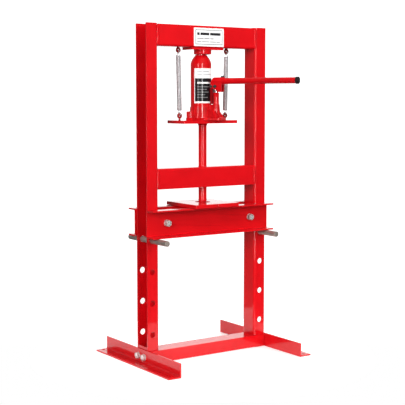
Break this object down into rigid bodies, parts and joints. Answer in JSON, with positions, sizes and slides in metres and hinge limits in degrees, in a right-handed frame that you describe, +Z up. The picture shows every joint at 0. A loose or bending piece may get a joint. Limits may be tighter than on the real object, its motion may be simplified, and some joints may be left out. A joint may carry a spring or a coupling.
{
  "type": "hydraulic shop press",
  "caption": "H-frame hydraulic press: an upside-up bottle jack on a sprung plate drives a rod towards a pinned table with loose arbor plates.",
  "frame": {"origin": "floor level under the axis of the press rod, at the centre of the four anchor holes", "axes": "+Z up, +X to the right, +Y to the back; the handle points to the front"},
  "size_m": [0.49, 0.4682, 0.95],
  "materials": {
    "red_paint": "high-gloss bright red paint",
    "jack_paint": "high-gloss bright red paint",
    "machined_steel": "turned steel, lightly oiled",
    "spring_steel": "drawn spring wire",
    "zinc": "bright zinc plating",
    "black_steel": "black oxide steel",
    "ram_chrome": "ground and polished",
    "black_rubber": "matt moulded rubber",
    "white_label": null,
    "black_label": null
  },
  "bodies": {
    "frame": {"post_left": "red_paint", "post_right": "red_paint", "top_beam": "red_paint", "bearing_plate": "red_paint", "ram_cup": "red_paint", "guide_beam": "red_paint", "guide_sleeve": "red_paint", "base_crossbar": "red_paint", "post_base_plates": "red_paint", "foot_left": "red_paint", "foot_right": "red_paint", "foot_bolts": "zinc", "foot_nuts": "zinc", "foot_washers": "zinc", "upper_spring_eyes": "red_paint", "upper_eye_nuts": "zinc", "capacity_label": "white_label", "jack_ram": "ram_chrome", "piston_seal": "black_rubber", "ram_saddle": "machined_steel", "return_spring_left": "spring_steel", "return_spring_right": "spring_steel"},
    "carriage": {"press_plate": "red_paint", "press_rod": "red_paint", "rod_collar": "red_paint", "lower_spring_eyes": "red_paint", "jack_base": "jack_paint", "jack_tank": "jack_paint", "jack_cylinder": "machined_steel", "jack_top_nut": "jack_paint", "filler_plug": "black_rubber", "jack_label": "black_label", "pump_barrel": "jack_paint", "pump_link": "jack_paint"},
    "handle": {"handle_socket": "jack_paint", "socket_screw": "black_steel", "socket_pin": "black_steel", "handle_tube": "jack_paint", "handle_cap": "black_rubber"},
    "plunger": {"pump_plunger": "ram_chrome", "plunger_pin": "black_steel"},
    "release_valve": {"release_valve": "black_steel"},
    "table": {"table_channel_front": "red_paint", "table_channel_back": "red_paint", "table_bolts": "zinc", "table_nuts": "zinc", "table_washers": "zinc", "table_spacers": "red_paint"},
    "pin_left": {"support_pin_left": "machined_steel"},
    "pin_right": {"support_pin_right": "machined_steel"},
    "arbor_left": {"arbor_plate_left": "red_paint"},
    "arbor_right": {"arbor_plate_right": "red_paint"}
  },
  "joints": [
    {"name": "ram_extension", "type": "slide", "parent": "frame", "child": "carriage", "axis": [0, 0, -1], "range_m": [0, 0.11], "stiffness_N_per_m": 600, "springref_m": -0.15, "deforming": ["return_spring_left", "return_spring_right"]},
    {"name": "handle_stroke", "type": "hinge", "parent": "carriage", "child": "handle", "pos_m": [0.01387, -0.02967, 0.778], "axis": [-0.8829, -0.4695, 0], "range_deg": [0, 25]},
    {"name": "plunger_stroke", "type": "slide", "parent": "carriage", "child": "plunger", "axis": [0, 0, 1], "range_m": [0, 0.006]},
    {"name": "release_valve_turn", "type": "hinge", "parent": "carriage", "child": "release_valve", "pos_m": [0.0438, 0.00776, 0.696], "axis": [-0.8829, -0.4695, 0], "range_deg": [0, 270]},
    {"name": "table_lift", "type": "slide", "parent": "frame", "child": "table", "axis": [0, 0, 1], "range_m": [0, 0.04]},
    {"name": "pin_left_pull", "type": "slide", "parent": "frame", "child": "pin_left", "axis": [0, -1, 0], "range_m": [0, 0.15]},
    {"name": "pin_right_pull", "type": "slide", "parent": "frame", "child": "pin_right", "axis": [0, -1, 0], "range_m": [0, 0.15]},
    {"name": "arbor_left_shift", "type": "slide", "parent": "table", "child": "arbor_left", "axis": [-1, 0, 0], "range_m": [0, 0.085]},
    {"name": "arbor_right_shift", "type": "slide", "parent": "table", "child": "arbor_right", "axis": [1, 0, 0], "range_m": [0, 0.085]}
  ],
  "couplings": [
    {"joint": "plunger_stroke", "follows": "handle_stroke", "m_per_rad": 0.0123}
  ]
}
